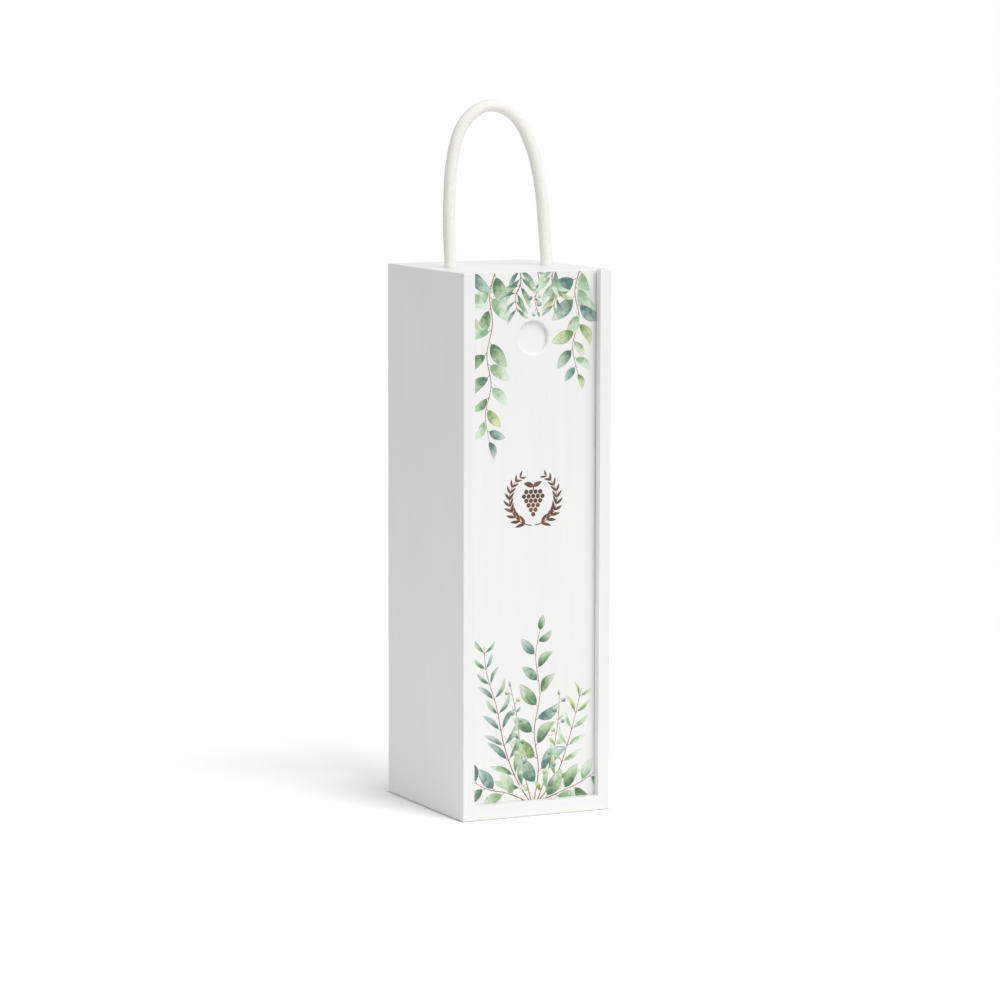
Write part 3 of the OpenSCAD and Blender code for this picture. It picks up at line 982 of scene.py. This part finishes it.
@dataclass
class LidPrint:
    """The print on the lid's face: hanging strands above, a spray below and a small crest between them."""

    lid_mm: float = 5.0             # thickness of the lid, which leans back in its grooves
    film_mm: float = 0.02           # thickness of the ink
    line_mm: float = 0.016          # half the thickness of a stroke of line ink, at its start
    first_mm: float = 0.04          # how far the lowest leaves stand out, so that viewers tell them apart
    layer_mm: float = 0.025         # how far a leaf lies over the one below it
    margin_mm: float = 0.9          # bare edge of the lid, past its rounded arris
    recess_dia_mm: float = 23.5
    recess_drop_mm: float = 42.5    # from the lid's top to the middle of the finger recess
    clear_mm: float = 0.8           # between a leaf and the finger recess
    rows: int = 14                  # faces along a leaf
    columns: int = 4                # and across it
    merge: float = 0.002            # points of a leaf this close together become one, for its length
    point: float = 1e-4             # width of a leaf at its two ends, for its length
    berry_sides: int = 20
    # Circles that cover a leaf: how far along it, and their radius for the leaf's half width.
    cover: tuple[Point2, ...] = ((0.14, 0.5), (0.35, 0.9), (0.58, 0.95), (0.82, 0.6))
    seed: int = 11
    growth: Growth = Growth()
    crest: Crest = Crest()
    low: Vector = field(init=False)
    high: Vector = field(init=False)
    chance: random.Random = field(init=False)
    blanks: dict[Cut, bpy.types.Object] = field(init=False, default_factory=dict)
    laid: list[tuple[int, list[Point3]]] = field(init=False, default_factory=list)

    def __post_init__(self) -> None:
        """Reads the lid's place from the frame."""
        self.low, self.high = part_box("sliding_lid")
        self.chance = random.Random(self.seed)

    def thicken(self, film: bpy.types.Object) -> None:
        """Gives a flat shape the thickness of the ink and a map for its tone.

        Args:
            film: the shape, which is the active object.
        """
        made = film.modifiers.new("film", "SOLIDIFY")
        made.thickness, made.offset = self.film_mm * MM, -1.0
        bpy.ops.object.modifier_apply(modifier=made.name)
        film.data.uv_layers.new(name="tone")

    def blank(self, cut: Cut) -> bpy.types.Object:
        """Cuts one leaf of length 1, which stands on the origin and faces the front.

        Args:
            cut: its outline.

        Returns:
            The leaf, as a thin closed film.
        """
        half, swell, tip, bend = cut.value
        deselect_all()
        bpy.ops.mesh.primitive_grid_add(x_subdivisions=self.columns, y_subdivisions=self.rows, size=1.0,
                                        location=(0, 0, 0.5), rotation=(math.radians(90), 0, 0))
        leaf = bpy.context.active_object
        leaf.name = "leaf_" + cut.name.lower()
        bpy.ops.object.transform_apply(location=True, rotation=True, scale=True)
        leaf.data.uv_layers[0].name = "leaf"
        for height in sorted({round(v.co.z, 4) for v in leaf.data.vertices}):
            width = 2 * half * max(0.0, math.sin(math.pi * height**swell)) ** tip
            for vertex in leaf.data.vertices:
                vertex.select = abs(vertex.co.z - height) < self.merge / 2
            for thing in (*leaf.data.edges, *leaf.data.polygons):
                thing.select = False
            bpy.ops.object.mode_set(mode="EDIT")
            bpy.ops.mesh.select_mode(type="VERT")
            bpy.ops.transform.resize(value=(max(width, self.point), 1, 1), center_override=(0, 0, height))
            bpy.ops.transform.translate(value=(bend * math.sin(math.pi * height), 0, 0))
            bpy.ops.object.mode_set(mode="OBJECT")
        bpy.ops.object.mode_set(mode="EDIT")
        bpy.ops.mesh.select_all(action="SELECT")
        bpy.ops.mesh.remove_doubles(threshold=self.merge)
        bpy.ops.object.mode_set(mode="OBJECT")
        self.thicken(leaf)
        leaf.hide_render = True
        return leaf

    def level(self, spots: list[Point3]) -> float:
        """Finds how far out a leaf or berry lies, so that it clears all that it covers.

        Args:
            spots: circles that cover it, each across, up and radius, in metres.

        Returns:
            How far out of the lid's face its front stands, in metres.
        """
        below = [layer for layer, others in self.laid
                 if any(math.hypot(a[0] - b[0], a[1] - b[1]) < a[2] + b[2] for a in spots for b in others)]
        layer = max(below, default=-1) + 1
        self.laid.append((layer, spots))
        return (self.first_mm + layer * self.layer_mm) * MM

    def reaches_recess(self, mesh: bpy.types.Mesh) -> bool:
        """Says whether a leaf would reach into the finger recess.

        Args:
            mesh: the leaf, on an upright face.

        Returns:
            True if it would.
        """
        middle = self.high.z - self.recess_drop_mm * MM
        limit = (self.recess_dia_mm / 2 + self.clear_mm) * MM
        return any(math.hypot(v.co.x, v.co.z - middle) < limit for v in mesh.vertices)

    def leaf(self, cut: Cut, base: np.ndarray, angle: float, length: float,
             tone: float) -> bpy.types.Object | None:
        """Lays one leaf on the lid's face.

        Args:
            cut: its outline.
            base: where it starts, across and up, in metres.
            angle: how far it leans from upright, clockwise as seen, in radians.
            length: its length, in metres.
            tone: its place in the ink's row of colours.

        Returns:
            The leaf, or None where it would reach into the finger recess.
        """
        if cut not in self.blanks:
            self.blanks[cut] = self.blank(cut)
        mesh = self.blanks[cut].data.copy()
        flip = self.chance.choice((-1, 1))
        turn = Matrix.Translation((base[0], 0, base[1])) @ Matrix.Rotation(angle, 4, "Y")
        mesh.transform(turn @ Matrix.Diagonal((flip * length, 1, length, 1)))
        if flip < 0:
            mesh.flip_normals()
        if self.reaches_recess(mesh):
            bpy.data.meshes.remove(mesh)
            return None
        half, bend = cut.value[0], cut.value[3]
        spots = []
        for share, part in self.cover:
            spot = turn @ Vector((flip * bend * math.sin(math.pi * share) * length, 0, share * length))
            spots.append((spot.x, spot.z, part * half * length))
        mesh.transform(Matrix.Translation((0, -self.level(spots), 0)))
        drift = self.chance.uniform(-self.growth.tone_drift, self.growth.tone_drift)
        shade = (min(1.0, max(0.0, tone + drift)), self.chance.random())
        mesh.uv_layers["tone"].data.foreach_set("uv", list(shade) * len(mesh.loops))
        made = bpy.data.objects.new("leaf", mesh)
        bpy.context.scene.collection.objects.link(made)
        return made

    def disc(self, middle: np.ndarray, radius_mm: float, tone: float) -> bpy.types.Object:
        """Lays one round berry on the lid's face.

        Args:
            middle: its middle, across and up, in metres.
            radius_mm: its radius.
            tone: its place in the ink's row of colours.

        Returns:
            The berry, as a thin closed film.
        """
        out = self.level([(middle[0], middle[1], radius_mm * MM)])
        deselect_all()
        bpy.ops.mesh.primitive_circle_add(vertices=self.berry_sides, radius=radius_mm * MM,
                                          fill_type="TRIFAN", location=(middle[0], -out, middle[1]),
                                          rotation=(math.radians(90), 0, 0))
        berry = bpy.context.active_object
        bpy.ops.object.transform_apply(location=True, rotation=True, scale=True)
        berry.data.uv_layers[0].name = "leaf"
        self.thicken(berry)
        shade = (tone, self.chance.random())
        berry.data.uv_layers["tone"].data.foreach_set("uv", list(shade) * len(berry.data.loops))
        return berry

    def stroke(self, route: np.ndarray, first_mm: float, last_mm: float) -> bpy.types.Object:
        """Draws one ink stroke along a route on the lid's face.

        Args:
            route: its points, across and up, in metres.
            first_mm: half its thickness at the start.
            last_mm: half its thickness at the end.

        Returns:
            The stroke, as a flat closed film.
        """
        data = bpy.data.curves.new("stroke", "CURVE")
        data.dimensions, data.bevel_depth, data.bevel_resolution, data.use_fill_caps = "3D", MM, 1, True
        line = data.splines.new("POLY")
        line.points.add(len(route) - 1)
        for i, (point, place) in enumerate(zip(line.points, route)):
            point.co = (place[0], 0.0, place[1], 1.0)
            point.radius = first_mm + (last_mm - first_mm) * i / (len(route) - 1)
        made = bpy.data.objects.new("stroke", data)
        bpy.context.scene.collection.objects.link(made)
        pick(made)
        bpy.ops.object.convert(target="MESH")
        made = bpy.context.active_object
        made.data.transform(Matrix.Diagonal((1, self.line_mm / first_mm, 1, 1)))
        return made

    def leaves_of(self, twig: Twig, stem: Stem) -> tuple[Things, Things]:
        """Lays a twig's leaves on their short stalks.

        Args:
            twig: what it is like.
            stem: its stem.

        Returns:
            The leaves and the stalks.
        """
        growth, paired = self.growth, twig.side is Side.PAIRED
        leaves, stalks = [], []
        for i in range(twig.leaves):
            row = i // 2 * 2 if paired else i
            share = twig.bare + (1 - twig.bare) * (row / (twig.leaves - 1))
            spot, heading = stem.at(share)
            at_tip = share > growth.tip_share and not (paired and i % 2)
            lean = 0.0
            if not at_tip:
                sway = self.chance.uniform(-growth.sway_deg, growth.sway_deg)
                lean = (1 if i % 2 else -1) * math.radians(twig.spread_deg + sway)
            length = twig.first_mm + (twig.last_mm - twig.first_mm) * share
            length *= self.chance.uniform(*growth.leaf_sizes) * MM
            stalk = 0.0 if at_tip else growth.stalk_share * length
            ahead = heading_step(heading + lean)
            base = spot + stalk * ahead
            cut, tone = twig.cuts[i % len(twig.cuts)], self.chance.choice(twig.tones)
            made = self.leaf(cut, base, heading + lean, length, tone)
            if made is None:
                continue
            leaves.append(made)
            if stalk:
                line = np.array([spot, base + growth.stalk_lap * stalk * ahead])
                stalks.append(self.stroke(line, *(twig.stem_mm * part for part in growth.leaf_stalk)))
        return leaves, stalks

    def berries_of(self, twig: Twig, stem: Stem) -> tuple[Things, Things]:
        """Lays a twig's berries on their stalks.

        Args:
            twig: what it is like.
            stem: its stem.

        Returns:
            The berries and the stalks.
        """
        growth = self.growth
        start, run = growth.berry_run
        berries, stalks = [], []
        for i in range(twig.berries):
            spot, heading = stem.at(start + run * (i + 0.5) / twig.berries)
            angle = heading + (1 if i % 2 else -1) * math.radians(self.chance.uniform(*growth.berry_deg))
            end = spot + self.chance.uniform(*growth.berry_stalk_mm) * MM * heading_step(angle)
            radius = twig.berry_mm * self.chance.uniform(*growth.berry_sizes)
            line = np.array([spot, end])
            stalks.append(self.stroke(line, *(twig.stem_mm * part for part in growth.berry_stalk)))
            berries.append(self.disc(end, radius, self.chance.choice(growth.berry_tones)))
        return berries, stalks

    def wreath(self) -> Things:
        """Prints the crest: a bunch of grapes in an open laurel wreath.

        Returns:
            Its leaves, grapes and strokes.
        """
        crest, parts = self.crest, []
        middle = np.array([0.0, crest.middle_mm]) * MM
        radius = crest.wreath_mm * MM
        for side in (-1, 1):
            angles = np.radians(np.linspace(*crest.branch_deg, crest.branch_points)) * side
            arc = np.array([middle + radius * heading_step(angle) for angle in angles])
            parts.append(self.stroke(arc, *crest.branch_mm))
            for i, angle in enumerate(np.radians(np.linspace(*crest.pairs_deg, crest.pairs)) * side):
                spot = middle + radius * heading_step(angle)
                ahead = angle - side * math.pi / 2
                length = (crest.leaf_mm - crest.shorter_mm * i) * MM
                for lean in (-crest.spread, crest.spread):
                    parts.append(self.leaf(Cut.LAUREL, spot, ahead + lean, length, 0.0))
        across, down = crest.grape_step_mm
        for row, count in enumerate(crest.bunch):
            for i in range(count):
                place = ((i - (count - 1) / 2) * across, crest.bunch_top_mm - row * down)
                parts.append(self.disc(middle + np.array(place) * MM, crest.grape_mm, 0.0))
        stalk = middle + np.array(crest.stalk_mm) * MM
        parts.append(self.stroke(smooth_route(stalk, crest.stalk_steps), *crest.stalk_half_mm))
        for angle, length in crest.vine_leaves:
            parts.append(self.leaf(Cut.BAY, stalk[1], angle, length * MM, 0.0))
        return [part for part in parts if part]

    def lean(self) -> Matrix:
        """Works out how the lid's face lies in the frame, from upright through the origin.

        Returns:
            The move that takes a print on an upright face onto the lid.
        """
        back = self.high.y - self.low.y - self.lid_mm * MM
        foot = Vector((0.0, self.low.y, self.low.z))
        angle = -math.atan2(back, self.high.z - self.low.z)
        place, upright = Matrix.Translation(foot), Matrix.Translation((0, 0, -foot.z))
        return place @ Matrix.Rotation(angle, 4, "X") @ upright

    def piece(self, name: str, parts: Things, ink: bpy.types.Material) -> bpy.types.Object:
        """Joins parts into one piece, trims it to the lid's face and fixes it to the lid.

        Args:
            name: the piece's name.
            parts: its parts.
            ink: its finish.

        Returns:
            The piece.
        """
        pick(*parts)
        bpy.ops.object.join()
        made = bpy.context.active_object
        made.name = name
        made.data.name = name
        made.data.materials.clear()
        made.data.materials.append(ink)
        edge = self.margin_mm * MM
        walls = (((self.high.x - edge, 0, 0), (1, 0, 0)), ((self.low.x + edge, 0, 0), (-1, 0, 0)),
                 ((0, 0, self.high.z - edge), (0, 0, 1)), ((0, 0, self.low.z + edge), (0, 0, -1)))
        bpy.ops.object.mode_set(mode="EDIT")
        for point, outward in walls:
            bpy.ops.mesh.select_all(action="SELECT")
            bpy.ops.mesh.bisect(plane_co=point, plane_no=outward, clear_outer=True, use_fill=True)
        bpy.ops.object.mode_set(mode="OBJECT")
        made.data.transform(self.lean())
        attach(made, "lid")
        LOG.info("%s: %d parts, %d faces", name, len(parts), len(made.data.polygons))
        return made

    def build(self) -> None:
        """Prints the twigs and the crest."""
        leaves, stems, berries = [], [], []
        crest = self.wreath()
        for twig in TWIGS:
            stem = Stem(twig.route_mm)
            stems.append(self.stroke(stem.route, twig.stem_mm, twig.stem_mm * self.growth.stem_taper))
            for found, lay in ((leaves, self.leaves_of), (berries, self.berries_of)):
                laid, stalks = lay(twig, stem)
                found.extend(laid)
                stems.extend(stalks)
        wash = LeafInk().make()
        twig_ink = LineInk("chestnut_print_ink", "#8A4E33", "#B98A5E").make()
        crest_ink = LineInk("umber_print_ink", "#5B3A29", "#7C5540").make()
        self.piece("print_leaves", leaves, wash)
        self.piece("print_berries", berries, wash)
        self.piece("print_twigs", stems, twig_ink)
        self.piece("print_crest", crest, crest_ink)
        for blank in self.blanks.values():
            bpy.data.objects.remove(blank)


# ---------------------------------------------------------------------------- main


def main() -> None:
    """Builds the scene."""
    logging.basicConfig(level=logging.INFO, format="%(message)s")
    Studio().build()
    Rope().build()
    Carcass().dress()
    LidPrint().build()


if __name__ == "__main__":
    main()
